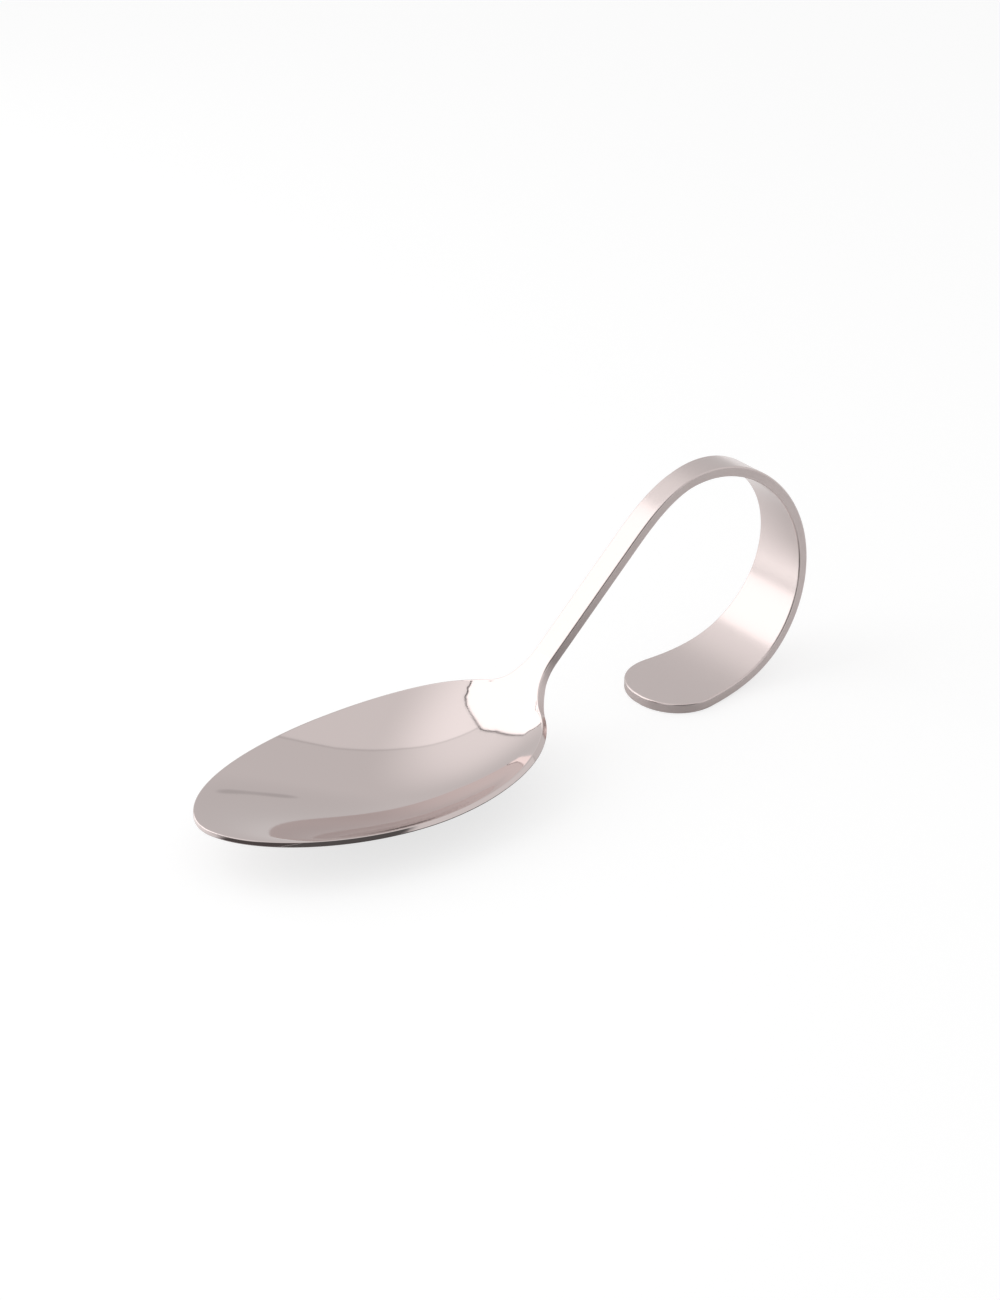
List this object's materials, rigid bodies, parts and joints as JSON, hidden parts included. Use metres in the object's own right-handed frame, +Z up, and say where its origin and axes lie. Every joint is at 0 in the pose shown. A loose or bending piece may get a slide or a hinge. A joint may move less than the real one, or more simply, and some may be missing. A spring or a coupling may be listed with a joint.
{
  "type": "amuse-bouche spoon",
  "caption": "Small serving spoon bent from one steel blank: an egg-shaped bowl, a narrow rising shank, and a strip curled over into a finger loop that ends in a flat foot.",
  "frame": {"origin": "on the table, under the middle of the spoon's length and width", "axes": "+X from the bowl's tip towards the finger loop, +Y across the spoon, +Z up from the table"},
  "size_m": [0.125, 0.0394, 0.0423],
  "materials": {
    "polished_steel": "mirror polished stainless steel",
    "satin_steel": "fine polished stainless steel, a little softer than a mirror, with ground edges"
  },
  "bodies": {
    "root": {"bowl": "polished_steel", "neck": "polished_steel", "shank": "satin_steel", "finger_loop": "satin_steel", "foot": "satin_steel"}
  },
  "joints": []
}
